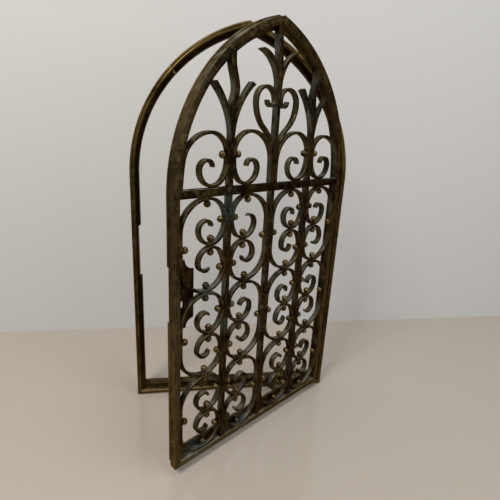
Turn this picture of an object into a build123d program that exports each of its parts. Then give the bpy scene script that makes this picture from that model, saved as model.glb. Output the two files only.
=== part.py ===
from build123d import *
from math import acos, asin, atan2, cos, degrees, radians, sin, sqrt
import os

os.makedirs("parts", exist_ok=True)

# An arched bronze window grille: a fixed moulded surround and a hinged leaf filled with scrollwork.
# X runs along the surround, Y runs back into the wall, Z is up, all in millimetres.
# The origin is the middle of the surround's foot, on the surface that it stands on.

# Surround
width = 308.0
arch_centre = 51.0
surround_depth = 20.0
edge_chamfer = 1.2
band_width = 2.9
bead_width = 3.4
bead_groove = 1.3
moulding_width = 8.2
moulding_slope = 2.2
lip_front = 6.5
lip_width = 3.0
sill_lip_height = 6.6
seam_angle = 42.4
joint_drop = 5.0
sweep_overrun = 5.0

# Leaf frame
leaf_proud = 4.8
leaf_margin = 11.5
rib_width = 8.0
rib_depth = 8.5
flange_thickness = 2.5
lap_width = 1.8
flange_width = 4.5
sill_flange_height = 23.5

# Hinges
open_angle = 33.9
hinge_inset = 8.0
hinge_forward = 3.0
knuckle_radius = 2.4
pin_radius = 1.1
pin_clearance = 0.05
hinge_gap = 0.3
hinge_low = 64.0
hinge_drop = 68.0
hinge_length = 36.0
plate_margin = 0.4
pin_stub = 1.2

# Transom and bars
transom_height = 9.0
transom_drop = 2.5
bar_width = 5.5
bar_setback = 0.5
outer_cell_excess = 1.25
scroll_rows = 3
row_height = 110.0

# Scrolls: the bends are shares of a row's height, in tangent runs of a quarter turn and more
strap = 3.6
strap_back = 8.0
scroll_gap = 0.1
hook_gap = 0.3
quarter = 90
cheek_turn = 35.66
brow_radius = row_height * 0.22727
cheek_radius = row_height * 0.28545
hook_radius = row_height * 0.15455
curl_radius = row_height * 0.09091
eye_radius = row_height * 0.07273
upper_scroll_outer = row_height * 0.53182
upper_scroll_inner = row_height * 0.55909
stud_radius = 4.1
stud_facet = 2.4
stud_seat = 0.12

# Blades, leaves and heart scrolls above the transom; a share is of the arch's rise or of a bar's spacing
blade_width = 6.6
blade_share = 0.4934
blade_sway_radius = 60.0
blade_sway = 12.0
centre_blade_share = 0.628
centre_sway = 6.0
trident_share = 0.8049
centre_leaf_share = 0.6392
crotch = 24.0
centre_crotch = 18.0
fork_lean = 0.35
blunt_tip = 5.2
slim_tip = 4.0
sharp_tip = 1.6
tip_slant = 0.5
heart_foot_rise = 7.6
heart_reach_share = 0.4956
heart_waist_share = 0.5551
heart_crown_radius = 15.2
heart_curl_radius = 6.0

# Lock plate on the back of the leaf
plate_thickness = 1.5
plate_inset = 1.0
plate_width = 32.0
plate_bottom = 198.0
plate_top = 281.0
boss_inset = 20.0
boss_middle = 244.5
boss_radius = 3.3
boss_height = 1.2
boss_chamfer = 0.5
key_inset = 17.0
key_middle = 228.5
key_width = 3.0
key_height = 8.0
scotia_top = 12.0
scotia_bottom = 10.5
lap_foot = 22.0
lap_cut_low = 213.0
lap_cut_high = 277.5
lock_screw_heights = (214.8, 275.5)
lock_screw_radius = 2.3
lock_screw_head = 1.4
notch_low = 201.0
notch_high = 280.0

# Worked-out surround sizes
half_width = width / 2
springing = leaf_margin + rib_width + scroll_rows * row_height + transom_drop
front = -surround_depth / 2
arch_radius = half_width + arch_centre
lip_inner = moulding_width + lip_width
sill_lip_top = moulding_width + sill_lip_height
apex_angle = degrees(acos(arch_centre / arch_radius))

# Worked-out leaf sizes, in the leaf's own plane
leaf_half = half_width - leaf_margin
leaf_bottom = leaf_margin
leaf_radius = arch_radius - leaf_margin
leaf_depth = rib_depth + flange_thickness
rib_inner = leaf_half - rib_width
rib_radius = leaf_radius - rib_width
rib_top = leaf_bottom + rib_width
transom_bottom = rib_top + scroll_rows * row_height
transom_top = transom_bottom + transom_height
half_bar = bar_width / 2
bar_spacing = (rib_inner + half_bar - outer_cell_excess) / 2
arch_rise = sqrt(rib_radius**2 - arch_centre**2)
plate_edge = leaf_half - plate_inset
plate_inner = plate_edge - plate_width
hook_rise = cheek_radius * sin(radians(cheek_turn))
hook_drop = hook_radius * (1 - sin(radians(cheek_turn)))

# The leaf swings about an upright axis near the surround's right edge
axis_x = half_width - hinge_inset
axis_y = front - hinge_forward
closed_leaf = Plane(origin=(0, front - leaf_proud, 0), x_dir=(1, 0, 0), z_dir=(0, -1, 0))
swing = Location((axis_x, axis_y, 0), (0, 0, open_angle)) * Location((-axis_x, -axis_y, 0))
leaf_plane = Plane(swing * closed_leaf.location)
leaf_middle = Plane(origin=leaf_plane.origin, z_dir=leaf_plane.x_dir)
bar_plane = leaf_plane.offset(-bar_setback)
back_plane = leaf_plane.offset(-leaf_depth)


def publish(piece, name):
    piece.part.label = name
    export_step(piece.part, f"parts/{name}.step")


def inside_arch(radius, x):
    """Height of an arch of this radius at x from the middle."""
    return springing + sqrt(radius**2 - (abs(x) + arch_centre) ** 2)


def arch_half_width(radius, z):
    """Half the clear width of an arch of this radius at height z."""
    return sqrt(radius**2 - (z - springing) ** 2) - arch_centre


def advance(point, heading, size, turn):
    """Where a run ends: straight on when there is no turn, else round an arc of radius size."""
    if turn == 0:
        return (point[0] + size * cos(radians(heading)), point[1] + size * sin(radians(heading)))
    hand = 1 if turn > 0 else -1
    before = radians(heading + quarter)
    after = radians(heading + turn + quarter)
    return (
        point[0] + hand * size * (cos(before) - cos(after)),
        point[1] + hand * size * (sin(before) - sin(after)),
    )


def chain_end(start, heading, runs):
    """End point and heading of a chain of tangent runs, each (length, 0) or (radius, turn)."""
    for size, turn in runs:
        start = advance(start, heading, size, turn)
        heading += turn
    return start, heading


def run_chain(start, heading, runs, shift):
    """Draws the runs, shifted to the left by shift, and gives the end point."""
    normal = radians(heading + quarter)
    point = (start[0] + shift * cos(normal), start[1] + shift * sin(normal))
    for size, turn in runs:
        way = (cos(radians(heading)), sin(radians(heading)))
        if turn == 0:
            end = advance(point, heading, size, 0)
            Line(point, end)
        else:
            bend = size - shift if turn > 0 else size + shift
            end = advance(point, heading, bend, turn)
            JernArc(start=point, tangent=way, radius=bend, arc_size=turn)
        point = end
        heading += turn
    return point


def strap_outline(start, heading, runs, thickness):
    """Closed outline of a strap bent along the runs, with square-cut ends."""
    half = thickness / 2
    normal = radians(heading + quarter)
    left_start = (start[0] + half * cos(normal), start[1] + half * sin(normal))
    right_start = (start[0] - half * cos(normal), start[1] - half * sin(normal))
    left_end = run_chain(start, heading, runs, half)
    right_end = run_chain(start, heading, runs, -half)
    Line(left_start, right_start)
    Line(left_end, right_end)


# Surround: a half of the moulded frame, swept up the stile and round the arch
def moulding_outline():
    """Section outline from the outer edge inwards (x) and from the front back (y)."""
    bead_start = band_width
    bead_end = band_width + bead_width
    Line((0, edge_chamfer), (edge_chamfer, 0))
    Line((edge_chamfer, 0), (bead_start, 0))
    Line((bead_start, 0), (bead_start, bead_groove))
    ThreePointArc((bead_start, bead_groove), ((bead_start + bead_end) / 2, 0), (bead_end, bead_groove))
    Line((bead_end, bead_groove), (moulding_width, moulding_slope))
    Line((moulding_width, moulding_slope), (moulding_width, lip_front))
    Line((moulding_width, lip_front), (lip_inner, lip_front))
    Line((lip_inner, lip_front), (lip_inner, surround_depth))
    Line((lip_inner, surround_depth), (0, surround_depth))
    Line((0, surround_depth), (0, edge_chamfer))


stile_section = Plane(origin=(-half_width, front, springing), x_dir=(1, 0, 0), z_dir=(0, 0, 1))
mitre_left = Plane(origin=(-half_width, 0, 0), z_dir=(-1, 0, 1))
mitre_right = Plane(origin=(half_width, 0, 0), z_dir=(1, 0, 1))
arch_axis_left = Axis((arch_centre, 0, springing), (0, 1, 0))

with BuildPart() as half_surround:
    with BuildSketch(stile_section) as moulding:
        with BuildLine():
            moulding_outline()
        make_face()
    extrude(amount=-springing)
    revolve(moulding.sketch, axis=arch_axis_left, revolution_arc=apex_angle + sweep_overrun)
    split(bisect_by=Plane.YZ, keep=Keep.BOTTOM)
    split(bisect_by=mitre_left, keep=Keep.TOP)

seam_direction = (-cos(radians(seam_angle)), 0, sin(radians(seam_angle)))
seam_normal = (sin(radians(seam_angle)), 0, cos(radians(seam_angle)))
seam = Plane(origin=(arch_centre, 0, springing), x_dir=seam_direction, z_dir=seam_normal)

with BuildPart() as surround_left_stile:
    add(half_surround.part)
    split(bisect_by=seam, keep=Keep.BOTTOM)
    with Locations((-half_width + moulding_width, front + lip_front, notch_low)):
        Box(
            lip_width,
            surround_depth - lip_front,
            notch_high - notch_low,
            align=(Align.MIN, Align.MIN, Align.MIN),
            mode=Mode.SUBTRACT,
        )
publish(surround_left_stile, "surround_left_stile")

with BuildPart() as surround_left_arch:
    add(half_surround.part)
    split(bisect_by=seam, keep=Keep.TOP)
publish(surround_left_arch, "surround_left_arch")

right_joint = Plane.XY.offset(springing - joint_drop)
with BuildPart() as surround_right_stile:
    mirror(half_surround.part, about=Plane.YZ)
    split(bisect_by=right_joint, keep=Keep.BOTTOM)
publish(surround_right_stile, "surround_right_stile")

with BuildPart() as surround_right_arch:
    mirror(half_surround.part, about=Plane.YZ)
    split(bisect_by=right_joint, keep=Keep.TOP)
publish(surround_right_arch, "surround_right_arch")

rail_section = Plane(origin=(-half_width, front, 0), x_dir=(0, 0, 1), z_dir=(-1, 0, 0))
with BuildPart() as surround_bottom_rail:
    with BuildSketch(rail_section):
        with BuildLine():
            moulding_outline()
        make_face()
    extrude(amount=-width)
    split(bisect_by=mitre_left, keep=Keep.BOTTOM)
    split(bisect_by=mitre_right, keep=Keep.BOTTOM)
    with Locations((0, front + lip_front, lip_inner)):
        Box(
            width - 2 * lip_inner,
            surround_depth - lip_front,
            sill_lip_top - lip_inner,
            align=(Align.CENTER, Align.MIN, Align.MIN),
        )
publish(surround_bottom_rail, "surround_bottom_rail")


# Leaf frame: ribbed section with a flange inside and a lap outside
def leaf_frame_outline():
    """Rib, inner flange and outer lap as one section, x inwards and y back."""
    Polyline(
        (0, 0),
        (rib_width, 0),
        (rib_width, rib_depth),
        (rib_width + flange_width, rib_depth),
        (rib_width + flange_width, leaf_depth),
        (-lap_width, leaf_depth),
        (-lap_width, rib_depth),
        (0, rib_depth),
        close=True,
    )


backwards = leaf_plane.z_dir * -1
left_section = Plane(
    origin=leaf_plane.from_local_coords((-leaf_half, springing, 0)),
    x_dir=leaf_plane.x_dir,
    z_dir=leaf_plane.x_dir.cross(backwards),
)
leaf_arch_axis = Axis(leaf_plane.from_local_coords((arch_centre, springing, 0)), backwards)
leaf_mitre_origin = leaf_plane.from_local_coords((-leaf_half, leaf_bottom, 0))
leaf_mitre = Plane(origin=leaf_mitre_origin, z_dir=leaf_plane.y_dir - leaf_plane.x_dir)
leaf_mitre_right = Plane(
    origin=leaf_plane.from_local_coords((leaf_half, leaf_bottom, 0)),
    z_dir=leaf_plane.y_dir + leaf_plane.x_dir,
)

with BuildPart() as half_leaf:
    with BuildSketch(left_section) as leaf_profile:
        with BuildLine():
            leaf_frame_outline()
        make_face()
    extrude(amount=-springing)
    revolve(leaf_profile.sketch, axis=leaf_arch_axis, revolution_arc=apex_angle + sweep_overrun)
    split(bisect_by=leaf_middle, keep=Keep.BOTTOM)
    split(bisect_by=leaf_mitre, keep=Keep.TOP)
    with BuildSketch(back_plane):
        with Locations((-leaf_half, lap_foot)):
            Rectangle(lap_width, lap_foot, align=(Align.MAX, Align.MAX))
    extrude(amount=flange_thickness, mode=Mode.SUBTRACT)

with BuildPart() as leaf_left_stile:
    add(half_leaf.part)
    with BuildSketch(back_plane):
        with Locations((-leaf_half - lap_width, (lap_cut_low + lap_cut_high) / 2)):
            Rectangle(lap_width, lap_cut_high - lap_cut_low, align=(Align.MIN, Align.CENTER))
    extrude(amount=flange_thickness, mode=Mode.SUBTRACT)
publish(leaf_left_stile, "leaf_left_stile")

with BuildPart() as leaf_right_stile:
    mirror(half_leaf.part, about=leaf_middle)
publish(leaf_right_stile, "leaf_right_stile")

leaf_rail_section = Plane(
    origin=leaf_plane.from_local_coords((-leaf_half, leaf_bottom, 0)),
    x_dir=leaf_plane.y_dir,
    z_dir=leaf_plane.x_dir * -1,
)
with BuildPart() as leaf_bottom_rail:
    with BuildSketch(leaf_rail_section):
        with BuildLine():
            Polyline(
                (0, 0),
                (rib_width, 0),
                (rib_width, rib_depth),
                (rib_width + flange_width, rib_depth),
                (rib_width + flange_width, leaf_depth),
                (0, leaf_depth),
                close=True,
            )
        make_face()
    extrude(amount=-2 * leaf_half)
    split(bisect_by=leaf_mitre, keep=Keep.BOTTOM)
    split(bisect_by=leaf_mitre_right, keep=Keep.BOTTOM)
    with BuildSketch(back_plane):
        with Locations((0, rib_top + flange_width)):
            Rectangle(
                2 * (rib_inner - flange_width),
                sill_flange_height - rib_width - flange_width,
                align=(Align.CENTER, Align.MIN),
            )
    extrude(amount=flange_thickness)
publish(leaf_bottom_rail, "leaf_bottom_rail")

# Transom: a bar across the springing, slotted at the back for the upright bars
bar_places = (-bar_spacing, 0.0, bar_spacing)
transom_half = arch_half_width(rib_radius, transom_top)
with BuildPart() as transom:
    with BuildSketch(leaf_plane):
        with Locations((0, transom_bottom)):
            Rectangle(2 * transom_half, transom_height, align=(Align.CENTER, Align.MIN))
    extrude(amount=-rib_depth)
    with BuildSketch(bar_plane):
        with Locations(*[(x, transom_bottom) for x in bar_places]):
            Rectangle(bar_width, transom_height, align=(Align.CENTER, Align.MIN))
    extrude(amount=-rib_depth, mode=Mode.SUBTRACT)
publish(transom, "transom")


# Upright bars: square bars that end above in a waved, flattened blade against the arch
def blade_runs(x, start, sway):
    """A wave out to one side and back, then straight to the arch."""
    rise = inside_arch(rib_radius, x) - start
    first = (blade_sway_radius, -sway)
    second = (blade_sway_radius, sway)
    return [first, second, second, (rise, 0)]


blade_start = springing + arch_rise * blade_share
centre_blade_start = springing + arch_rise * centre_blade_share
bars = {
    "bar_left": (-bar_spacing, blade_start, blade_sway),
    "bar_centre": (0.0, centre_blade_start, centre_sway),
    "bar_right": (bar_spacing, blade_start, -blade_sway),
}
for name, (x, start, sway) in bars.items():
    with BuildPart() as bar:
        with BuildSketch(bar_plane):
            with BuildLine():
                strap_outline((x, start), quarter, blade_runs(x, start, sway), blade_width)
            make_face()
            for centre in (-arch_centre, arch_centre):
                with Locations((centre, springing)):
                    Circle(rib_radius, mode=Mode.INTERSECT)
        extrude(amount=bar_setback - rib_depth)
        with BuildSketch(bar_plane):
            with Locations((x, rib_top)):
                Rectangle(bar_width, start - rib_top, align=(Align.CENTER, Align.MIN))
        extrude(amount=bar_setback - rib_depth)
    publish(bar, name)


# Leaves beside each blade, forged out of flat bar and cut flat or drawn to a point at the tip
# A leaf's reach is a share of the bars' spacing, and its height a share of the way up to the arch
trident_start = transom_top + upper_scroll_inner * trident_share
centre_leaf_start = springing + arch_rise * centre_leaf_share
leaves = {
    "leaf_1_left": ("bar_left", -1, 0.378, 0.641, blunt_tip),
    "leaf_1_right": ("bar_left", 1, 0.409, 0.685, blunt_tip),
    "leaf_2_left": ("bar_centre", -1, 0.442, 0.57, slim_tip),
    "leaf_2_right": ("bar_centre", 1, 0.4265, 0.625, sharp_tip),
    "leaf_3_left": ("bar_right", -1, 0.385, 0.701, blunt_tip),
    "leaf_3_right": ("bar_right", 1, 0.319, 0.635, sharp_tip),
}
for name, (bar_name, side, reach, climb, cut) in leaves.items():
    x, start, sway = bars[bar_name]
    central = bar_name == "bar_centre"
    foot = centre_leaf_start if central else trident_start
    fork = centre_crotch if central else crotch
    face = x + side * (blade_width / 2 if central else half_bar)
    tip_x = bar_spacing * reach
    tip_z = foot + (inside_arch(rib_radius, x) - foot) * climb
    slant = cut / 2 * tip_slant
    low = (x + side * (tip_x + cut / 2), tip_z - slant)
    high = (x + side * (tip_x - cut / 2), tip_z + slant)
    with BuildPart() as leaf:
        with BuildSketch(bar_plane):
            with BuildLine():
                TangentArc((face, foot), low, tangent=(0, 1))
                Line(low, high)
                TangentArc((face, foot + fork), high, tangent=(side * fork_lean, 1))
                Line((face, foot + fork), (face, foot))
            make_face()
            with BuildLine():
                clear_width = blade_width + 2 * scroll_gap
                strap_outline((x, start), quarter, blade_runs(x, start, sway), clear_width)
            make_face(mode=Mode.SUBTRACT)
        extrude(amount=bar_setback - strap_back)
    publish(leaf, name)

# Scroll columns: C-scrolls stacked on a rib or the centre bar, with a half scroll above the transom
inner_cell = bar_spacing - bar_width - scroll_gap
outer_cell = rib_inner - bar_spacing - half_bar - scroll_gap
c_half_height = row_height / 2 - scroll_gap / 2


def hook_runs(brow, half_height):
    """From the shoulder's top over the brow, down the cheek and round the hook to the eye."""
    drop = half_height - hook_gap / 2 - strap - brow - hook_rise - hook_drop
    return [
        (brow, quarter),
        (drop, 0),
        (cheek_radius, cheek_turn),
        (hook_radius, 2 * quarter - cheek_turn),
        (curl_radius, quarter),
        (eye_radius, quarter),
    ]


def mirrored(runs, side):
    return [(size, turn * side) for size, turn in runs]


def c_runs(cell):
    """A whole C-scroll from its lower eye to its upper one; the cell's width sets the shoulder."""
    shoulder = cell - strap - brow_radius
    straight = c_half_height - strap / 2 - shoulder
    half = [(shoulder, quarter)] + hook_runs(brow_radius, c_half_height)
    return half[::-1] + [(2 * straight, 0)] + half


def c_start(x, middle, side, runs):
    """Point and heading at the lower eye of a C-scroll whose back stands at x."""
    half = len(runs) // 2
    straight = runs[half][0] / 2
    lower = [(straight, 0)] + mirrored(runs[half + 1:], side)
    end, heading = chain_end((x, middle), -quarter, lower)
    return end, heading + 2 * quarter


def stud_places(back, side, middle, cell):
    """Studs sit against the inner face of their scroll: crown, cheek and hook, twice, and the back."""
    reach = stud_radius + stud_seat
    crown_x = cell - strap / 2 - brow_radius
    cheek_x = cell - strap - reach
    hook_x = cell - strap / 2 - cheek_radius + (cheek_radius - hook_radius) * cos(radians(cheek_turn))
    places = [(strap + reach, 0)]
    for way in (1, -1):
        places.append((crown_x, way * (c_half_height - strap - reach)))
        places.append((cheek_x, way * (c_half_height - strap / 2 - brow_radius)))
        places.append((hook_x, way * (hook_gap / 2 + strap + reach)))
    return [(back + side * x, middle + z) for x, z in places]


row_middles = [rib_top + row_height * (row + 0.5) for row in range(scroll_rows)]
stud_plane = leaf_plane.offset(-(bar_setback + strap_back) / 2)
columns = {
    "column_1": (-rib_inner, 1, outer_cell),
    "column_2": (-half_bar, -1, inner_cell),
    "column_3": (half_bar, 1, inner_cell),
    "column_4": (rib_inner, -1, outer_cell),
}
bend_radius = rib_radius - strap / 2
for name, (back, side, cell) in columns.items():
    outer = abs(back) > bar_spacing
    upper = upper_scroll_outer if outer else upper_scroll_inner
    shoulder = cell - strap - brow_radius
    crown_z = transom_top + upper - strap / 2
    if outer:
        # The back strap follows the arch and leaves it where the shoulder is tangent to it
        rise = crown_z - shoulder - springing
        leave = degrees(asin(rise / (bend_radius - shoulder)))
        foot_z = transom_top + scroll_gap
        begin = degrees(asin((foot_z - springing) / bend_radius))
        crown_x = arch_centre - (bend_radius - shoulder) * cos(radians(leave))
        base_x = arch_centre - bend_radius * cos(radians(begin))
        brow = -crown_x - bar_spacing - half_bar - scroll_gap - strap / 2
        runs = [(bend_radius, leave - begin), (shoulder, quarter - leave)] + hook_runs(brow, upper)
        start = (-side * abs(base_x), foot_z)
        heading = quarter - side * begin
        cheek_x = -side * (bar_spacing + half_bar + scroll_gap + strap + stud_radius + stud_seat)
    else:
        brow = brow_radius
        straight = crown_z - shoulder - transom_top
        runs = [(straight, 0), (shoulder, quarter)] + hook_runs(brow, upper)
        start = (back + side * strap / 2, transom_top)
        heading = quarter
        cheek_x = back + side * (cell - strap - stud_radius - stud_seat)
    with BuildPart() as scrolls:
        with BuildSketch(bar_plane):
            for middle in row_middles:
                whole = c_runs(cell)
                eye, eye_heading = c_start(back + side * strap / 2, middle, side, whole)
                with BuildLine():
                    strap_outline(eye, eye_heading, mirrored(whole, -side), strap)
                make_face()
            with BuildLine():
                strap_outline(start, heading, mirrored(runs, -side), strap)
            make_face()
        extrude(amount=-(strap_back - bar_setback))
    publish(scrolls, f"{name}_scrolls")

    studs_at = [(cheek_x, crown_z - brow)]
    for middle in row_middles:
        studs_at += stud_places(back, side, middle, cell)
    with BuildPart() as studs:
        with Locations(*[stud_plane.location * Location((x, z, 0)) for x, z in studs_at]):
            Box(2 * stud_radius, 2 * stud_radius, 2 * stud_radius)
        chamfer(studs.edges(), length=stud_facet)
    publish(studs, f"{name}_studs")

# Heart scrolls: a pair that springs from the crotch between the shoulders and the centre bar
shoulder_radius = inner_cell - strap - brow_radius
shoulder_x = half_bar + strap / 2 + shoulder_radius
shoulder_z = transom_top + upper_scroll_inner - strap / 2 - shoulder_radius
heart_foot = shoulder_z + heart_foot_rise
heart_waist = springing + arch_rise * heart_waist_share
heart_reach = bar_spacing * heart_reach_share
heart_start_x = half_bar + scroll_gap + strap / 2
heart_out = heart_reach - heart_start_x
heart_up = heart_waist - heart_foot
heart_turn = 2 * degrees(atan2(heart_out, heart_up))
heart_sway_radius = heart_up / sin(radians(heart_turn)) / 2
heart_return_radius = heart_reach - heart_crown_radius - heart_start_x
for name, side in (("heart_scroll_left", -1), ("heart_scroll_right", 1)):
    with BuildPart() as heart:
        with BuildSketch(bar_plane):
            with BuildLine():
                runs = [
                    (heart_sway_radius, -heart_turn),
                    (heart_sway_radius, heart_turn),
                    (heart_crown_radius, quarter),
                    (heart_return_radius, quarter),
                    (heart_curl_radius, 2 * quarter),
                ]
                strap_outline((side * heart_start_x, heart_foot), quarter, mirrored(runs, side), strap)
            make_face()
            with Locations((side * shoulder_x, shoulder_z)):
                Circle(shoulder_radius + strap / 2 + scroll_gap, mode=Mode.SUBTRACT)
        extrude(amount=-(strap_back - bar_setback))
    publish(heart, name)

# Lock plate: a bare plate with hollow corners, screwed to the back of the left stile
with BuildPart() as lock_plate:
    with BuildSketch(back_plane):
        with Locations((-plate_edge, plate_bottom)):
            Rectangle(plate_width, plate_top - plate_bottom, align=(Align.MIN, Align.MIN))
        with Locations((-plate_inner, plate_top)):
            Circle(scotia_top, mode=Mode.SUBTRACT)
        with Locations((-plate_inner, plate_bottom)):
            Circle(scotia_bottom, mode=Mode.SUBTRACT)
        with Locations((key_inset - leaf_half, key_middle)):
            SlotCenterToCenter(key_height - key_width, key_width, rotation=quarter, mode=Mode.SUBTRACT)
    extrude(amount=-plate_thickness)
publish(lock_plate, "lock_plate")

with BuildPart() as lock_boss:
    with BuildSketch(back_plane):
        with Locations((boss_inset - leaf_half, boss_middle)):
            Circle(boss_radius)
    extrude(amount=boss_height)
    rim = lock_boss.faces().sort_by(Axis(back_plane.origin, back_plane.z_dir))[-1].edges()
    chamfer(rim, length=boss_chamfer)
publish(lock_boss, "lock_boss")

side_plane = Plane(
    origin=leaf_plane.from_local_coords((-leaf_half, 0, -rib_depth + lock_screw_radius)),
    x_dir=leaf_plane.y_dir,
    z_dir=leaf_plane.x_dir * -1,
)
with BuildPart() as lock_side_screws:
    with BuildSketch(side_plane):
        with Locations(*[(z, 0) for z in lock_screw_heights]):
            Circle(lock_screw_radius)
    extrude(amount=lock_screw_head)
publish(lock_side_screws, "lock_side_screws")

# Hinges: three-knuckle butts, one plate inside the moulding and one on the side of the leaf's stile
side_gap = axis_x - leaf_half
face_gap = axis_x - half_width + moulding_width
plate_gauge = side_gap - knuckle_radius - hinge_gap
knuckle_length = hinge_length / 3
pin_bore = pin_radius + pin_clearance
plate_clear = knuckle_radius + hinge_gap
surround_plate_back = hinge_forward + lip_front - plate_margin
leaf_plate_front = leaf_proud - hinge_forward - plate_margin
leaf_plate_depth = rib_depth - 2 * plate_margin
hinge_feet = (hinge_low, springing - hinge_drop)


def knuckle_levels(fixed):
    """Bottom and height of each knuckle above the hinge's foot."""
    if fixed:
        return [(0, knuckle_length), (2 * knuckle_length, knuckle_length)]
    return [(knuckle_length + hinge_gap, knuckle_length - 2 * hinge_gap)]


def hinge_plane(height, fixed):
    """Plane square to the hinge axis; the leaf's turns with the leaf."""
    return Plane(Location((axis_x, axis_y, height), (0, 0, 0 if fixed else open_angle)))


# The plates are made in pairs, lower and upper, one pair for the surround and one for the leaf
for name, fixed in (("hinge_surround_plates", True), ("hinge_leaf_plates", False)):
    with BuildPart() as plates:
        for foot in hinge_feet:
            with BuildSketch(hinge_plane(foot, fixed)):
                if fixed:
                    with Locations((-face_gap, plate_clear)):
                        reach = surround_plate_back - plate_clear
                        Rectangle(plate_gauge, reach, align=(Align.MAX, Align.MIN))
                else:
                    with Locations((-side_gap, -leaf_plate_front)):
                        Rectangle(plate_gauge, leaf_plate_depth, align=(Align.MIN, Align.MIN))
            extrude(amount=hinge_length)
            for level, height in knuckle_levels(fixed):
                with BuildSketch(hinge_plane(foot + level, fixed)):
                    Circle(knuckle_radius)
                    if fixed:
                        with Locations((-face_gap, 0)):
                            Rectangle(plate_gauge, plate_clear, align=(Align.MAX, Align.MIN))
                    else:
                        with Locations((-side_gap, 0)):
                            Rectangle(side_gap, plate_gauge, align=(Align.MIN, Align.CENTER))
                    Circle(pin_bore, mode=Mode.SUBTRACT)
                extrude(amount=height)
    publish(plates, name)

# Pins, each standing out a little at both ends
with BuildPart() as hinge_pins:
    for foot in hinge_feet:
        with BuildSketch(hinge_plane(foot - pin_stub, True)):
            Circle(pin_radius)
        extrude(amount=hinge_length + 2 * pin_stub)
publish(hinge_pins, "hinge_pins")
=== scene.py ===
import math
import random

import bmesh
import bpy
from mathutils import Matrix, Vector


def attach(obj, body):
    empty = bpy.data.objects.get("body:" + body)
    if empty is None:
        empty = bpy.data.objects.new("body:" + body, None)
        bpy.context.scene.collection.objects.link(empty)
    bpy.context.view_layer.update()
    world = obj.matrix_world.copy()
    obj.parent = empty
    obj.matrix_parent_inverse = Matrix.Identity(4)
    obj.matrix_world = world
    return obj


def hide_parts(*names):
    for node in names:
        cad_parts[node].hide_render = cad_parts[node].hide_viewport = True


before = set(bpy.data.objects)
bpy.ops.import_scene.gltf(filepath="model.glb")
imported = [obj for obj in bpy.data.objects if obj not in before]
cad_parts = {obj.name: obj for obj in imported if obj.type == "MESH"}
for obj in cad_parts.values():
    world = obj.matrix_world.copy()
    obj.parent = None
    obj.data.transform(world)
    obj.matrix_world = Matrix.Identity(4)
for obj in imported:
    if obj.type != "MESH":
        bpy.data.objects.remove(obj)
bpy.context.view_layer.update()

# An arched bronze window grille: moulded surround, and a leaf of forged scrollwork that stands open.
# The leaf's own pieces are laid out flat (x across, y up, z towards its front) in millimetres,
# then stood up in their place by leaf_place.

hand = random.Random(7)
MM = 0.001

# Surround and hinge
half_width = 154.0
springing = 352.0
arch_centre = 51.0
surround_front = -10.0
leaf_proud = 4.8
leaf_margin = 11.5
seam_angle = 42.4
open_angle = 33.9
axis_x = 146.0
axis_y = -13.0

# Leaf
leaf_half = 142.5
rib_inner = 134.5
rib_radius = 185.5
rib_top = 19.5
transom_top = 358.5
bar_spacing = 68.0
half_bar = 2.75
bar_setback = 0.5
row_height = 110.0
scroll_rows = 3

# Scrolls
strap = 3.6
strap_depth = 7.5
strap_corner = 0.75
scroll_gap = 0.1
hook_gap = 0.3
brow_radius = 25.0
cheek_radius = 31.4
cheek_turn = 35.66
hook_radius = 17.0
curl_radius = 10.0
eye_radius = 8.0
upper_scroll_outer = 58.5
upper_scroll_inner = 61.5
stud_radius = 4.1
stud_seat = 0.12
heart_foot = 392.0
heart_reach = 33.7
heart_waist = 451.0
heart_crown_radius = 15.2
heart_curl_radius = 6.0
bend_step = 6.0
straight_step = 6.0
gauge_ripple = 0.03
gauge_ripple_length = 9.0
taper_reach = 11.0
hook_rise = cheek_radius * math.sin(math.radians(cheek_turn))
hook_drop = hook_radius * (1 - math.sin(math.radians(cheek_turn)))
strap_middle = -(bar_setback + strap_depth / 2)
inner_cell = bar_spacing - 2 * half_bar - scroll_gap
outer_cell = rib_inner - bar_spacing - half_bar - scroll_gap
c_half_height = row_height / 2 - scroll_gap / 2


def leaf_stand():
    """Matrix that stands the flat layout up in the open leaf's place, in metres."""
    pivot = Matrix.Translation((axis_x * MM, axis_y * MM, 0))
    turn = Matrix.Rotation(math.radians(open_angle), 4, "Z")
    face_y = (surround_front - leaf_proud) * MM
    closed = Matrix(((1, 0, 0, 0), (0, 0, -1, face_y), (0, 1, 0, 0), (0, 0, 0, 1)))
    return pivot @ turn @ pivot.inverted() @ closed


leaf_place = leaf_stand()
leaf_layout = leaf_place.inverted()
leaf_front = (leaf_place.to_3x3() @ Vector((0, 0, 1))).normalized()


# Shader groups
def socket_kind(value):
    if isinstance(value, tuple):
        return "NodeSocketColor" if len(value) == 4 else "NodeSocketVector"
    return "NodeSocketFloat"


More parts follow.
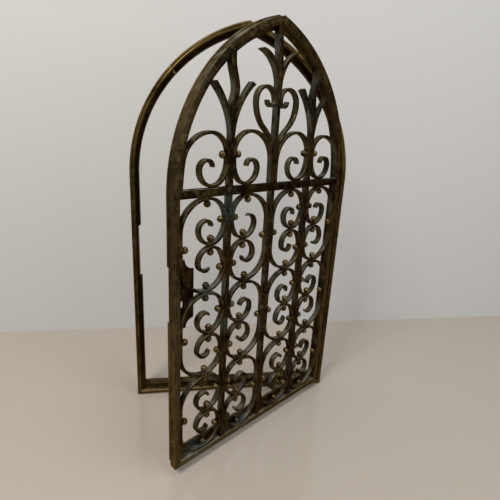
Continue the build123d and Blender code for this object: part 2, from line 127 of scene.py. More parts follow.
class Maker:
    """Adds nodes to a tree and joins them."""

    def __init__(self, tree):
        self.tree = tree

    def node(self, kind, **settings):
        made = self.tree.nodes.new(kind)
        for key, value in settings.items():
            setattr(made, key, value)
        return made

    def join(self, source, target):
        self.tree.links.new(source, target)

    def feed(self, target, value):
        if isinstance(value, bpy.types.NodeSocket):
            self.join(value, target)
        else:
            target.default_value = value

    def math(self, operation, first, second=0.0, clamp=False):
        made = self.node("ShaderNodeMath", operation=operation, use_clamp=clamp)
        self.feed(made.inputs[0], first)
        self.feed(made.inputs[1], second)
        return made.outputs[0]

    def noise(self, vector, scale, detail, rough, distortion=0.0):
        made = self.node("ShaderNodeTexNoise")
        self.join(vector, made.inputs["Vector"])
        self.feed(made.inputs["Scale"], scale)
        made.inputs["Detail"].default_value = detail
        made.inputs["Roughness"].default_value = rough
        made.inputs["Distortion"].default_value = distortion
        return made.outputs["Fac"]

    def between(self, value, low, high, to_low=0.0, to_high=1.0):
        made = self.node("ShaderNodeMapRange", interpolation_type="SMOOTHSTEP")
        self.feed(made.inputs["Value"], value)
        made.inputs["From Min"].default_value = low
        made.inputs["From Max"].default_value = high
        made.inputs["To Min"].default_value = to_low
        made.inputs["To Max"].default_value = to_high
        return made.outputs["Result"]

    def blend(self, share, first, second, mode="MIX"):
        made = self.node("ShaderNodeMix", data_type="RGBA", blend_type=mode)
        self.feed(made.inputs["Factor"], share)
        self.feed(made.inputs[6], first)
        self.feed(made.inputs[7], second)
        return made.outputs[2]


def shader_group(name, inputs, outputs):
    tree = bpy.data.node_groups.new(name, "ShaderNodeTree")
    for label, value in inputs:
        made = tree.interface.new_socket(label, in_out="INPUT", socket_type=socket_kind(value))
        made.default_value = value
    for label, kind in outputs:
        tree.interface.new_socket(label, in_out="OUTPUT", socket_type=kind)
    maker = Maker(tree)
    return tree, maker, maker.node("NodeGroupInput").outputs, maker.node("NodeGroupOutput").inputs


COLOUR = "NodeSocketColor"
NUMBER = "NodeSocketFloat"
ORIGIN = (0.0, 0.0, 0.0)

# Blotched brown patina: broad clouds of deep and warm brown, small olive mottling, fine dark specks
patina, pm, given, out = shader_group(
    "patina",
    [("Vector", ORIGIN), ("Deep", (0.03, 0.02, 0.012, 1)), ("Warm", (0.1, 0.06, 0.03, 1)),
     ("Olive", (0.12, 0.1, 0.055, 1)), ("Clouds", 24.0), ("Mottle", 110.0)],
    [("Colour", COLOUR), ("Cloud", NUMBER)],
)
cloud = pm.between(pm.noise(given["Vector"], given["Clouds"], 4.0, 0.6, 0.4), 0.36, 0.64)
mottle = pm.between(pm.noise(given["Vector"], given["Mottle"], 5.0, 0.68, 0.3), 0.47, 0.62)
speck = pm.between(pm.noise(given["Vector"], 330.0, 4.0, 0.75), 0.34, 0.54, 0.35, 1.0)
ground = pm.blend(cloud, given["Deep"], given["Warm"])
ground = pm.blend(mottle, ground, given["Olive"])
dark = pm.node("ShaderNodeCombineColor")
for channel in range(3):
    pm.join(speck, dark.inputs[channel])
pm.join(pm.blend(1.0, ground, dark.outputs[0], "MULTIPLY"), out["Colour"])
pm.join(cloud, out["Cloud"])

# Wear: corners rubbed bright, broken up by noise, with a few rubbed spots on the flats
wear_group, wm, given, out = shader_group(
    "edge_wear",
    [("Vector", ORIGIN), ("Corner", 0.0), ("Amount", 0.6), ("Flats", 0.1)],
    [("Mask", NUMBER)],
)
broken = wm.between(wm.noise(given["Vector"], 110.0, 4.0, 0.65), 0.42, 0.62)
rubbed = wm.between(wm.noise(given["Vector"], 60.0, 5.0, 0.7, 0.5), 0.56, 0.74)
on_corner = wm.math("MULTIPLY", wm.math("MULTIPLY", given["Corner"], broken), given["Amount"])
on_flat = wm.math("MULTIPLY", rubbed, given["Flats"])
wm.join(wm.math("ADD", on_corner, on_flat, clamp=True), out["Mask"])

# Deposits: teal verdigris in patches, and pale grey on what faces up, partly dust and scale and partly
# painted sheen where light falls from above
deposit_and_sheen, dm, given, out = shader_group(
    "deposits_and_sheen",
    [("Vector", ORIGIN), ("Green", 0.3), ("Dust", 0.3)],
    [("Green mask", NUMBER), ("Dust and sheen mask", NUMBER)],
)
# Places on the leaf where verdigris has gathered: across, up and spread
damp_places = (
    (-68, 338, 26), (-97, 241, 20), (-88, 262, 12), (-112, 24, 24), (-70, 190, 16), (-30, 24, 18),
)
damp_depth = -4
damp_core = 0.25
patch = dm.between(dm.noise(given["Vector"], 21.0, 3.0, 0.6, 0.6), 0.58, 0.74)
damp = 0.0
for x, y, spread in damp_places:
    reach = dm.node("ShaderNodeVectorMath", operation="DISTANCE")
    dm.join(given["Vector"], reach.inputs[0])
    reach.inputs[1].default_value = leaf_place @ (Vector((x, y, damp_depth)) * MM)
    near = dm.between(reach.outputs["Value"], spread * MM, damp_core * spread * MM)
    damp = dm.math("MAXIMUM", near, damp)
patch = dm.math("ADD", dm.math("MULTIPLY", patch, 0.35), damp, clamp=True)
grain = dm.between(dm.noise(given["Vector"], 420.0, 3.0, 0.7), 0.4, 0.62)
green = dm.math("MULTIPLY", dm.math("MULTIPLY", patch, grain), given["Green"], clamp=True)
dm.join(green, out["Green mask"])
facing = dm.node("ShaderNodeSeparateXYZ")
dm.join(dm.node("ShaderNodeNewGeometry").outputs["Normal"], facing.inputs[0])
# Upward faces turn pale grey in patches: settled dust, and also painted sheen where light falls from above
upward = dm.between(facing.outputs["Z"], 0.35, 0.95)
dust_and_sheen_patches = dm.between(dm.noise(given["Vector"], 75.0, 4.0, 0.65), 0.38, 0.62)
dust_and_sheen = dm.math("MULTIPLY", dm.math("MULTIPLY", upward, dust_and_sheen_patches), given["Dust"], clamp=True)
dm.join(dust_and_sheen, out["Dust and sheen mask"])

# Relief: soft hammer dents and small casting pits
relief, rm, given, out = shader_group(
    "relief",
    [("Vector", ORIGIN), ("Hammer", 0.6), ("Pits", 0.3)],
    [("Height", NUMBER)],
)
dents = rm.math("MULTIPLY", rm.noise(given["Vector"], 140.0, 2.0, 0.5), given["Hammer"])
skin = rm.math("MULTIPLY", rm.noise(given["Vector"], 700.0, 3.0, 0.65), 0.22)
holes = rm.between(rm.noise(given["Vector"], 520.0, 2.0, 0.5), 0.28, 0.42, -1.0, 0.0)
pitted = rm.math("MULTIPLY", holes, given["Pits"])
rm.join(rm.math("ADD", rm.math("ADD", dents, skin), pitted), out["Height"])

# Drawn streaks: fine lines that run along a moulding, by its inset in millimetres
streaks, tm, given, out = shader_group(
    "drawn_streaks",
    [("Vector", ORIGIN), ("Inset", 0.0)],
    [("Mask", NUMBER)],
)
streaks_across = 0.8
streaks_along = 22.0
apart = tm.node("ShaderNodeSeparateXYZ")
tm.join(given["Vector"], apart.inputs[0])
along = tm.node("ShaderNodeCombineXYZ")
tm.join(tm.math("MULTIPLY", given["Inset"], streaks_across), along.inputs[0])
tm.join(tm.math("MULTIPLY", apart.outputs["X"], streaks_along), along.inputs[1])
tm.join(tm.math("MULTIPLY", apart.outputs["Z"], streaks_along), along.inputs[2])
tm.join(tm.between(tm.noise(along.outputs[0], 1.0, 4.0, 0.6, 0.3), 0.36, 0.6), out["Mask"])

# Flecks: a few pale specks of old paint and grit, no more than a millimetre across
flecks, fm, given, out = shader_group("flecks", [("Vector", ORIGIN)], [("Mask", NUMBER)])
fleck_cells = 95.0
fleck_rarity = 0.955
cells = fm.node("ShaderNodeTexVoronoi", feature="F1")
fm.join(given["Vector"], cells.inputs["Vector"])
cells.inputs["Scale"].default_value = fleck_cells
dot = fm.between(cells.outputs["Distance"], 0.075, 0.04)
picked = fm.node("ShaderNodeSeparateColor")
fm.join(cells.outputs["Color"], picked.inputs[0])
few = fm.math("GREATER_THAN", picked.outputs[0], fleck_rarity)
fm.join(fm.math("MULTIPLY", dot, few), out["Mask"])


def placed(maker, tree, **values):
    made = maker.node("ShaderNodeGroup", node_tree=tree)
    for label, value in values.items():
        maker.feed(made.inputs[label.replace("_", " ")], value)
    return made.outputs


# Colours that lie on the bronze, the pale grey that is partly dust and partly painted sheen, and the tint
# of its gloss
verdigris = (0.065, 0.15, 0.145, 1)
pale_dust_and_sheen = (0.25, 0.24, 0.205, 1)
old_paint = (0.62, 0.57, 0.48, 1)
old_solder = (0.4, 0.33, 0.19, 1)
gloss_tint = (0.5, 0.39, 0.24, 1)
# Heights in metres between which a mask comes in, from none to all of it
sill_heights = (0.045, 0.03)
arch_heights = (0.3, 0.44)
lower_leaf_heights = (0.34, 0.18)
handled_heights = (0.3, 0.08)
seam_side = (0.0, -0.03)
seam_half_width = (1.5 * MM, 0.5 * MM)


def bands(mk, colour, zones, place, height, inset, front, upper_fade, lower_fade):
    """Lays the moulding's bands over a colour; drawn bands face forward and fade with height."""
    sill = mk.between(height, *sill_heights)
    high_up = mk.math("MAXIMUM", mk.between(height, *arch_heights), sill)
    kept = mk.math("MAXIMUM", high_up, 1.0 - lower_fade)
    low_down = mk.between(height, *lower_leaf_heights, 1.0 - upper_fade, 1.0)
    kept = mk.math("MULTIPLY", kept, low_down)
    for low, high, fade, strength, drawn, tint in zones:
        zone = mk.math("MULTIPLY", mk.between(inset, low - fade, low), mk.between(inset, high + fade, high))
        zone = mk.math("MULTIPLY", zone, strength)
        if drawn:
            lines = placed(mk, streaks, Vector=place, Inset=inset)["Mask"]
            zone = mk.math("MULTIPLY", mk.math("MULTIPLY", zone, front), mk.math("MULTIPLY", lines, kept))
        elif lower_fade:
            # A plain band is painted shade; on a piece that fades low down it is left off the sill, which
            # light falls on.
            zone = mk.math("MULTIPLY", zone, mk.math("SUBTRACT", 1.0, sill))
        colour = mk.blend(zone, colour, tint)
    return colour


def soldered(mk, colour, place, across, strength):
    """A line of old solder at the butt seam of the left arch."""
    shifted = mk.node("ShaderNodeVectorMath", operation="SUBTRACT")
    mk.join(place, shifted.inputs[0])
    shifted.inputs[1].default_value = (arch_centre * MM, 0, springing * MM)
    from_seam = mk.node("ShaderNodeVectorMath", operation="DOT_PRODUCT")
    mk.join(shifted.outputs[0], from_seam.inputs[0])
    tilt = math.radians(seam_angle)
    from_seam.inputs[1].default_value = (math.sin(tilt), 0, math.cos(tilt))
    distance = mk.math("ABSOLUTE", from_seam.outputs["Value"])
    line = mk.between(distance, *seam_half_width, 0.0, strength)
    line = mk.math("MULTIPLY", line, mk.between(across, *seam_side))
    line = mk.math("MULTIPLY", line, mk.between(mk.noise(place, 260.0, 3.0, 0.6), 0.34, 0.52))
    return mk.blend(line, colour, old_solder)


def rubbed_low(mk, colour, place, height, front, worn, strength):
    """Metal rubbed bare by hands, low down and mostly on the flanks."""
    low = mk.between(height, *handled_heights, 0.0, strength)
    rubbed = mk.between(mk.noise(place, 85.0, 5.0, 0.7, 0.4), 0.38, 0.58)
    turned = mk.math("SUBTRACT", 1.0, mk.math("MULTIPLY", front, 0.8))
    return mk.blend(mk.math("MULTIPLY", mk.math("MULTIPLY", low, rubbed), turned), colour, worn)


def bronze(name, deep, warm, olive, worn, *, corner, flats, green, dust_and_sheen_amount, rough, metal, side=None,
           sheen_share=0.0, sheen_least=0.15, zones=(), hammer=0.6, pits=0.3, clouds=24.0,
           relief_depth=0.35, handled=0.0, upper_fade=0.0, lower_fade=0.0, seam=0.0):
    """A bronze finish: patina, painted sheen on its flanks, rubbed metal, verdigris, pale grey on what
    faces up that is partly dirt and partly painted sheen, and relief, each with this piece's own values.
    """
    made = bpy.data.materials.new(name)
    made.use_nodes = True
    made.node_tree.nodes.clear()
    mk = Maker(made.node_tree)
    place = mk.node("ShaderNodeTexCoord").outputs["Object"]
    edge = mk.node("ShaderNodeAttribute", attribute_name="wear").outputs["Fac"]
    facing_out = mk.node("ShaderNodeAttribute", attribute_name="front").outputs["Fac"]
    front = mk.between(facing_out, 0.3, 0.7)
    inset = mk.node("ShaderNodeAttribute", attribute_name="inset").outputs["Fac"]
    level = mk.node("ShaderNodeSeparateXYZ")
    mk.join(place, level.inputs[0])
    across, height = level.outputs["X"], level.outputs["Z"]

    skin = placed(mk, patina, Vector=place, Deep=deep, Warm=warm, Olive=olive, Clouds=clouds)
    wear = placed(mk, wear_group, Vector=place, Corner=edge, Amount=corner, Flats=flats)["Mask"]
    deposits_and_sheen_masks = placed(mk, deposit_and_sheen, Vector=place, Green=green, Dust=dust_and_sheen_amount)
    grit = placed(mk, flecks, Vector=place)["Mask"]
    colour = skin["Colour"]
    # Painted sheen: faces that look neither forward nor back get the pale grey-blue side colour in patches,
    # standing in for light glancing off the flanks.
    if side:
        broad_face = mk.between(mk.math("ABSOLUTE", facing_out), 0.3, 0.7)
        sheen = mk.between(mk.noise(place, 38.0, 4.0, 0.6, 0.4), 0.42, 0.62, sheen_least, 1.0)
        flank = mk.math("SUBTRACT", 1.0, broad_face)
        colour = mk.blend(mk.math("MULTIPLY", flank, mk.math("MULTIPLY", sheen, sheen_share)), colour, side)
    colour = bands(mk, colour, zones, place, height, inset, front, upper_fade, lower_fade)
    if seam:
        colour = soldered(mk, colour, place, across, seam)
    if handled:
        colour = rubbed_low(mk, colour, place, height, front, worn, handled)
    colour = mk.blend(wear, colour, worn)
    colour = mk.blend(deposits_and_sheen_masks["Green mask"], colour, verdigris)
    # Pale grey on upward faces: dust and painted sheen together
    colour = mk.blend(deposits_and_sheen_masks["Dust and sheen mask"], colour, pale_dust_and_sheen)
    colour = mk.blend(grit, colour, old_paint)

    # Where verdigris, the pale grey of dust and painted sheen, and flecks lie, the metal is made less
    # metallic and rougher
    cover_and_sheen = mk.math("ADD", mk.math("ADD", deposits_and_sheen_masks["Green mask"], deposits_and_sheen_masks["Dust and sheen mask"]), grit, clamp=True)
    bare = mk.math("SUBTRACT", 1.0, cover_and_sheen)
    gloss = mk.math("MULTIPLY_ADD", skin["Cloud"], 0.14)
    gloss.node.inputs[2].default_value = rough
    gloss = mk.math("ADD", gloss, mk.math("MULTIPLY", cover_and_sheen, 0.3))
    gloss = mk.math("SUBTRACT", gloss, mk.math("MULTIPLY", wear, 0.12), clamp=True)
    bump = mk.node("ShaderNodeBump")
    bump.inputs["Strength"].default_value = 0.8
    bump.inputs["Distance"].default_value = relief_depth * MM
    mk.join(placed(mk, relief, Vector=place, Hammer=hammer, Pits=pits)["Height"], bump.inputs["Height"])
    surface = mk.node("ShaderNodeBsdfPrincipled")
    surface.inputs["Specular Tint"].default_value = gloss_tint
    mk.join(colour, surface.inputs["Base Color"])
    mk.join(mk.math("MULTIPLY", bare, metal), surface.inputs["Metallic"])
    mk.join(gloss, surface.inputs["Roughness"])
    mk.join(bump.outputs[0], surface.inputs["Normal"])
    mk.join(surface.outputs[0], mk.node("ShaderNodeOutputMaterial").inputs["Surface"])
    return made


# A zone is a band of a moulding: from and to (inset in mm), fade, strength, drawn or plain, tint
# The side colour is painted sheen on a piece's flanks; the dust amount also paints sheen on what faces up.
frame_bronze = bronze(
    "frame_bronze", (0.01, 0.0055, 0.0015, 1), (0.052, 0.029, 0.0075, 1), (0.085, 0.06, 0.021, 1),
    (0.21, 0.14, 0.05, 1), side=(0.08, 0.062, 0.034, 1), sheen_share=0.85, sheen_least=0.6,
    zones=((-4.0, -0.1, 0.3, 0.9, True, (0.24, 0.16, 0.055, 1)),
           (0.6, 5.0, 0.6, 0.85, True, (0.1, 0.088, 0.062, 1)),
           (5.9, 8.4, 0.5, 0.85, True, (0.17, 0.095, 0.025, 1))),
    corner=0.08, flats=0.08, green=0.4, dust_and_sheen_amount=0.55, rough=0.36, pits=1.0, metal=0.96, handled=0.75,
    upper_fade=0.75,
)
transom_bronze = bronze(
    "transom_bronze", (0.006, 0.003, 0.0008, 1), (0.026, 0.015, 0.0045, 1), (0.06, 0.042, 0.015, 1),
    (0.15, 0.1, 0.036, 1), side=(0.05, 0.046, 0.034, 1), sheen_share=0.5, corner=0.35, flats=0.08,
    green=0.2, dust_and_sheen_amount=0.7, rough=0.4, pits=0.6, metal=0.96,
)
surround_bronze = bronze(
    "surround_bronze", (0.011, 0.006, 0.0014, 1), (0.068, 0.04, 0.0095, 1), (0.11, 0.073, 0.02, 1),
    (0.36, 0.25, 0.09, 1),
    zones=((0.4, 6.2, 0.5, 0.9, True, (0.2, 0.138, 0.046, 1)),
           # The second, plain band paints the inner flank near black: painted shade, kept off the sill.
           (6.9, 60.0, 0.7, 0.85, False, (0.012, 0.007, 0.003, 1))),
    corner=0.35, flats=0.15, green=0.1, dust_and_sheen_amount=0.15, rough=0.34, hammer=0.35, metal=0.95, clouds=18.0,
    lower_fade=0.6, seam=0.75,
)
strap_bronze = bronze(
    "strap_bronze", (0.009, 0.0055, 0.002, 1), (0.046, 0.028, 0.0085, 1), (0.085, 0.062, 0.025, 1),
    (0.22, 0.155, 0.065, 1), side=(0.1, 0.094, 0.068, 1), sheen_share=0.9, corner=0.24, flats=0.12,
    green=0.55, dust_and_sheen_amount=0.35, rough=0.3, hammer=0.9, pits=0.25, metal=0.88,
)
forged_bronze = bronze(
    "forged_bronze", (0.008, 0.005, 0.002, 1), (0.042, 0.0235, 0.0075, 1), (0.06, 0.043, 0.018, 1),
    (0.2, 0.145, 0.065, 1), side=(0.125, 0.126, 0.104, 1), sheen_share=0.9, corner=0.2, flats=0.14,
    green=0.5, dust_and_sheen_amount=0.25, rough=0.28, hammer=1.0, metal=0.88,
)
stud_bronze = bronze(
    "stud_bronze", (0.026, 0.016, 0.005, 1), (0.15, 0.095, 0.034, 1), (0.19, 0.14, 0.06, 1),
    (0.5, 0.38, 0.19, 1), corner=0.0, flats=0.45, green=0.3, dust_and_sheen_amount=0.06, rough=0.16, hammer=0.2,
    pits=0.1, metal=0.95, clouds=45.0, relief_depth=0.2,
)
plate_bronze = bronze(
    "plate_bronze", (0.018, 0.0085, 0.003, 1), (0.06, 0.03, 0.01, 1), (0.06, 0.038, 0.014, 1),
    (0.25, 0.15, 0.055, 1), corner=0.4, flats=0.1, green=0.1, dust_and_sheen_amount=0.1, rough=0.42, hammer=0.3, pits=0.6,
    metal=0.92,
)
hinge_bronze = bronze(
    "hinge_bronze", (0.02, 0.013, 0.005, 1), (0.06, 0.037, 0.013, 1), (0.08, 0.058, 0.024, 1),
    (0.34, 0.24, 0.1, 1), corner=0.5, flats=0.2, green=0.2, dust_and_sheen_amount=0.12, rough=0.36, hammer=0.2,
    metal=0.92,
)


# Pieces
def rim_inset(x, z, half, foot):
    """Distance in millimetres from the arched outline of a frame, inwards."""
    if z > springing:
        return half + arch_centre - math.hypot(abs(x) + arch_centre, z - springing)
    return min(half - abs(x), z - foot)


def marked(mesh, body):
    """Stores what the finishes read at each corner: how squarely its face looks forward, and its inset."""
    forward = leaf_front if body == "leaf" else Vector((0, -1, 0))
    insets = []
    for vertex in mesh.vertices:
        if body == "leaf":
            at = leaf_layout @ vertex.co / MM
            insets.append(rim_inset(at.x, at.y, leaf_half, leaf_margin))
        else:
            insets.append(rim_inset(vertex.co.x / MM, vertex.co.z / MM, half_width, 0.0))
    front = [0.0] * len(mesh.loops)
    inset = [0.0] * len(mesh.loops)
    for face in mesh.polygons:
        look = face.normal.dot(forward)
        for loop in face.loop_indices:
            front[loop] = look
            inset[loop] = insets[mesh.loops[loop].vertex_index]
    for label, values in (("front", front), ("inset", inset)):
        mesh.attributes.new(label, "FLOAT", "CORNER").data.foreach_set("value", values)


def finished(mesh, name, body, finish, nodes, smooth=40.0):
    """Puts a finished mesh in the scene: its material, its body and the nodes it stands for."""
    marked(mesh, body)
    made = bpy.data.objects.new(name, mesh)
    bpy.context.scene.collection.objects.link(made)
    mesh.materials.clear()
    mesh.materials.append(finish)
    mesh.polygons.foreach_set("use_smooth", [True] * len(mesh.polygons))
    mesh.set_sharp_from_angle(angle=math.radians(smooth))
    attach(made, body)
    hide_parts(*nodes)


def evaluated(maker_object):
    """Plain mesh of an object with its modifiers applied; the object itself is removed."""
    bpy.context.view_layer.update()
    graph = bpy.context.evaluated_depsgraph_get()
    mesh = bpy.data.meshes.new_from_object(maker_object.evaluated_get(graph))
    source = maker_object.data
    for modifier in list(maker_object.modifiers):
        maker_object.modifiers.remove(modifier)
    bpy.data.objects.remove(maker_object)
    if isinstance(source, bpy.types.Curve):
        bpy.data.curves.remove(source)
    return mesh


# Blades that are waved further: height where the wave starts, and how far it swings
blade_waves = {"bar_left": (440.0, 1.9), "bar_right": (440.0, -1.5)}
wave_cuts = 23
wave_cut_step = 3
wave_length = 50
wave_ease = 10
wave_phase = -0.44
weld_distance = 2e-6
flat_angle = 0.004
worn_corner_angle = 32
worn_corner_segments = 2


def waved(work, start, way):
    """Cuts a blade into short lengths and waves it to one side and back, as it left the hammer."""
    bmesh.ops.transform(work, matrix=leaf_layout, verts=work.verts)
    for step in range(1, wave_cuts + 1):
        bmesh.ops.bisect_plane(
            work, geom=work.verts[:] + work.edges[:] + work.faces[:],
            plane_co=(0, (start + wave_cut_step * step) * MM, 0), plane_no=(0, 1, 0),
        )
    for vertex in work.verts:
        rise = vertex.co.y / MM - start
        if rise > 0:
            swing = math.sin(rise / wave_length * 2 * math.pi + wave_phase)
            vertex.co.x += way * min(1.0, rise / wave_ease) * swing * MM
    bmesh.ops.transform(work, matrix=leaf_place, verts=work.verts)


def softened(node, body, finish, bevel):
    """A CAD node with its flats merged and its edges rounded by hand wear."""
    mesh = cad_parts[node].data.copy()
    work = bmesh.new()
    work.from_mesh(mesh)
    bmesh.ops.remove_doubles(work, verts=work.verts, dist=weld_distance)
    bmesh.ops.dissolve_limit(work, angle_limit=flat_angle, verts=work.verts, edges=work.edges)
    if node in blade_waves:
        waved(work, *blade_waves[node])
    work.to_mesh(mesh)
    work.free()
    mesh.materials.clear()
    mesh.materials.append(finish)
    mesh.materials.append(finish)
    rounded = bpy.data.objects.new(node + "_rounded", mesh)
    bpy.context.scene.collection.objects.link(rounded)
    modifier = rounded.modifiers.new("rounding", "BEVEL")
    modifier.width = bevel * MM
    modifier.segments = worn_corner_segments
    modifier.limit_method = "ANGLE"
    modifier.angle_limit = math.radians(worn_corner_angle)
    modifier.material = 1
    modifier.use_clamp_overlap = True
    mesh = evaluated(rounded)
    corner = mesh.attributes.new("wear", "FLOAT", "CORNER")
    for face in mesh.polygons:
        value = 1.0 if face.material_index == 1 else 0.0
        for loop in face.loop_indices:
            corner.data[loop].value = value
        face.material_index = 0
    finished(mesh, node + "_worn", body, finish, (node,))


# Body, finish, slot, rounding in mm, and the nodes that get them
softened_nodes = [
    ("surround", surround_bronze, "surround", 0.4,
     ["surround_bottom_rail", "surround_left_stile", "surround_left_arch", "surround_right_arch",
      "surround_right_stile"]),
    ("surround", hinge_bronze, "hinges", 0.2, ["hinge_surround_plates", "hinge_pins"]),
    ("leaf", frame_bronze, "leaf_frame", 0.5, ["leaf_left_stile", "leaf_right_stile", "leaf_bottom_rail"]),
    ("leaf", transom_bronze, "transom", 0.5, ["transom"]),
    ("leaf", forged_bronze, "bars", 0.6, ["bar_left", "bar_centre", "bar_right"]),
    ("leaf", forged_bronze, "bars", 0.8,
     ["leaf_1_left", "leaf_1_right", "leaf_2_left", "leaf_2_right", "leaf_3_left", "leaf_3_right"]),
    ("leaf", plate_bronze, "lock", 0.25, ["lock_plate", "lock_boss"]),
    ("leaf", stud_bronze, "lock", 0.25, ["lock_side_screws"]),
    ("leaf", hinge_bronze, "hinges", 0.2, ["hinge_leaf_plates"]),
]
for body, finish, slot, bevel, names in softened_nodes:
    for node in names:
        softened(node, body, finish, bevel)


# Forged straps: one tree sweeps a rounded bar along each bent path
def tree_with(name, inputs):
    tree = bpy.data.node_groups.new(name, "GeometryNodeTree")
    tree.interface.new_socket("Geometry", in_out="INPUT", socket_type="NodeSocketGeometry")
    for label, kind, value in inputs:
        made = tree.interface.new_socket(label, in_out="INPUT", socket_type=kind)
        if value is not None:
            made.default_value = value
    tree.interface.new_socket("Geometry", in_out="OUTPUT", socket_type="NodeSocketGeometry")
    maker = Maker(tree)
    return tree, maker, maker.node("NodeGroupInput").outputs, maker.node("NodeGroupOutput").inputs


strap_tree, gm, given, out = tree_with(
    "strap_sweep",
    [("Gauge", NUMBER, strap * MM), ("Depth", NUMBER, strap_depth * MM),
     ("Corner", NUMBER, strap_corner * MM), ("Finish", "NodeSocketMaterial", None)],
)
section = gm.node("GeometryNodeCurvePrimitiveQuadrilateral")
gm.join(given["Gauge"], section.inputs["Width"])
gm.join(given["Depth"], section.inputs["Height"])
rounding = gm.node("GeometryNodeFilletCurve", mode="POLY")
gm.join(section.outputs[0], rounding.inputs["Curve"])
rounding.inputs["Count"].default_value = 3
gm.join(given["Corner"], rounding.inputs["Radius"])
# A rounded corner has four points, of which the middle two carry the wear
corner_point = gm.math("MODULO", gm.node("GeometryNodeInputIndex").outputs[0], 4.0)
on_bend = gm.math("COMPARE", corner_point, 1.5)
on_bend.node.inputs[2].default_value = 0.6
bend_marks = gm.node("GeometryNodeStoreNamedAttribute", data_type="FLOAT", domain="POINT")
gm.join(rounding.outputs[0], bend_marks.inputs["Geometry"])
bend_marks.inputs["Name"].default_value = "wear"
gm.join(on_bend, bend_marks.inputs["Value"])
upright = gm.node("GeometryNodeSetCurveNormal", mode="Z_UP")
gm.join(given["Geometry"], upright.inputs["Curve"])
sweep = gm.node("GeometryNodeCurveToMesh")
gm.join(upright.outputs[0], sweep.inputs["Curve"])
gm.join(bend_marks.outputs[0], sweep.inputs["Profile Curve"])
gm.join(gm.node("GeometryNodeInputRadius").outputs[0], sweep.inputs["Scale"])
sweep.inputs["Fill Caps"].default_value = True
real = gm.node("GeometryNodeRealizeInstances")
gm.join(sweep.outputs[0], real.inputs[0])
coated = gm.node("GeometryNodeSetMaterial")
gm.join(real.outputs[0], coated.inputs["Geometry"])
gm.join(given["Finish"], coated.inputs["Material"])
gm.join(coated.outputs[0], out["Geometry"])


def set_input(modifier, label, value):
    """A modifier's input by the socket's own identifier."""
    for item in modifier.node_group.interface.items_tree:
        if item.item_type == "SOCKET" and item.in_out == "INPUT" and item.name == label:
            modifier[item.identifier] = value


def chain(start, heading, runs):
    """Points along a chain of tangent runs, each (length, 0) or (radius, turn in degrees)."""
    points = [Vector((start[0], start[1]))]
    for size, turn in runs:
        here = points[-1]
        if turn == 0:
            count = max(1, round(abs(size) / straight_step))
            way = Vector((math.cos(math.radians(heading)), math.sin(math.radians(heading))))
            points += [here + way * (size * (i + 1) / count) for i in range(count)]
            continue
        side = 1 if turn > 0 else -1
        count = max(3, math.ceil(abs(turn) / bend_step))
        normal = math.radians(heading + 90)
        centre = here + Vector((math.cos(normal), math.sin(normal))) * (side * size)
        for i in range(count):
            at = math.radians(heading + 90 + turn * (i + 1) / count)
            points.append(centre - Vector((math.cos(at), math.sin(at))) * (side * size))
        heading += turn
    return points


def mirrored(runs, side):
    return [(size, turn * side) for size, turn in runs]


def hook_runs(brow, half_height, curl, eye_turn=90.0):
    """From the shoulder's top over the brow, down the cheek and round the hook to the eye."""
    drop = half_height - hook_gap / 2 - strap - brow - hook_rise - hook_drop
    return [
        (brow, 90), (drop, 0), (cheek_radius, cheek_turn), (hook_radius, 180 - cheek_turn),
        (curl_radius, 90), (eye_radius * curl, eye_turn),
    ]


def gauge_along(points, start_taper, end_taper):
    """Section scale at each point: forging unevenness, thinned near an end that is drawn out."""
    lengths = [0.0]
    for a, b in zip(points, points[1:]):
        lengths.append(lengths[-1] + (b - a).length)
    total = lengths[-1]
    phase = hand.uniform(0, 6.28)
    scales = []
    for run in lengths:
        scale = 1.0 + gauge_ripple * math.sin(phase + run / gauge_ripple_length)
        for gap, taper in ((run, start_taper), (total - run, end_taper)):
            if gap < taper_reach:
                share = gap / taper_reach
                scale *= taper + (1 - taper) * share * (2 - share)
        scales.append(scale)
    return scales


def forged_straps(name, paths, nodes):
    """One piece made of every path (points, start taper, end taper), swept by the strap tree."""
    curve = bpy.data.curves.new(name + "_path", "CURVE")
    curve.dimensions = "3D"
    for points, start_taper, end_taper in paths:
        spline = curve.splines.new("POLY")
        spline.points.add(len(points) - 1)
        scales = gauge_along(points, start_taper, end_taper)
        for item, point, scale in zip(spline.points, points, scales):
            item.co = (point.x * MM, point.y * MM, strap_middle * MM, 1)
            item.radius = scale
    path = bpy.data.objects.new(name + "_path", curve)
    bpy.context.scene.collection.objects.link(path)
    modifier = path.modifiers.new("straps", "NODES")
    modifier.node_group = strap_tree
    set_input(modifier, "Gauge", strap * MM)
    set_input(modifier, "Depth", strap_depth * MM)
    set_input(modifier, "Corner", strap_corner * MM)
    set_input(modifier, "Finish", strap_bronze)
    mesh = evaluated(path)
    mesh.transform(leaf_place)
    mesh.update()
    finished(mesh, name, "leaf", strap_bronze, nodes, 50.0)


row_middles = [rib_top + row_height * (row + 0.5) for row in range(scroll_rows)]
columns = {
    "column_1": (-rib_inner, 1, outer_cell),
    "column_2": (-half_bar, -1, inner_cell),
    "column_3": (half_bar, 1, inner_cell),
    "column_4": (rib_inner, -1, outer_cell),
}
# Scroll ends that are drawn out and opened: (column, row, 1 for the upper end) -> last turn and taper
open_ends = {
    ("column_2", 2, 1): (28.0, 0.35), ("column_1", 2, 0): (50.0, 0.4), ("column_4", 2, 0): (55.0, 0.45),
    ("column_3", 2, 1): (100.0, 0.8), ("column_4", 1, 0): (60.0, 0.5), ("column_1", 1, 1): (70.0, 0.6),
}


def half_c(cell, column, row, upper):
    """Shoulder and hook of a C-scroll, from the back strap out to one eye, with its own forged end."""
    turn, taper = open_ends.get((column, row, upper), (hand.uniform(72, 108), hand.uniform(0.75, 0.95)))
    shoulder = cell - strap - brow_radius
    return [(shoulder, 90)] + hook_runs(brow_radius, c_half_height, hand.uniform(0.85, 1.0), turn), taper


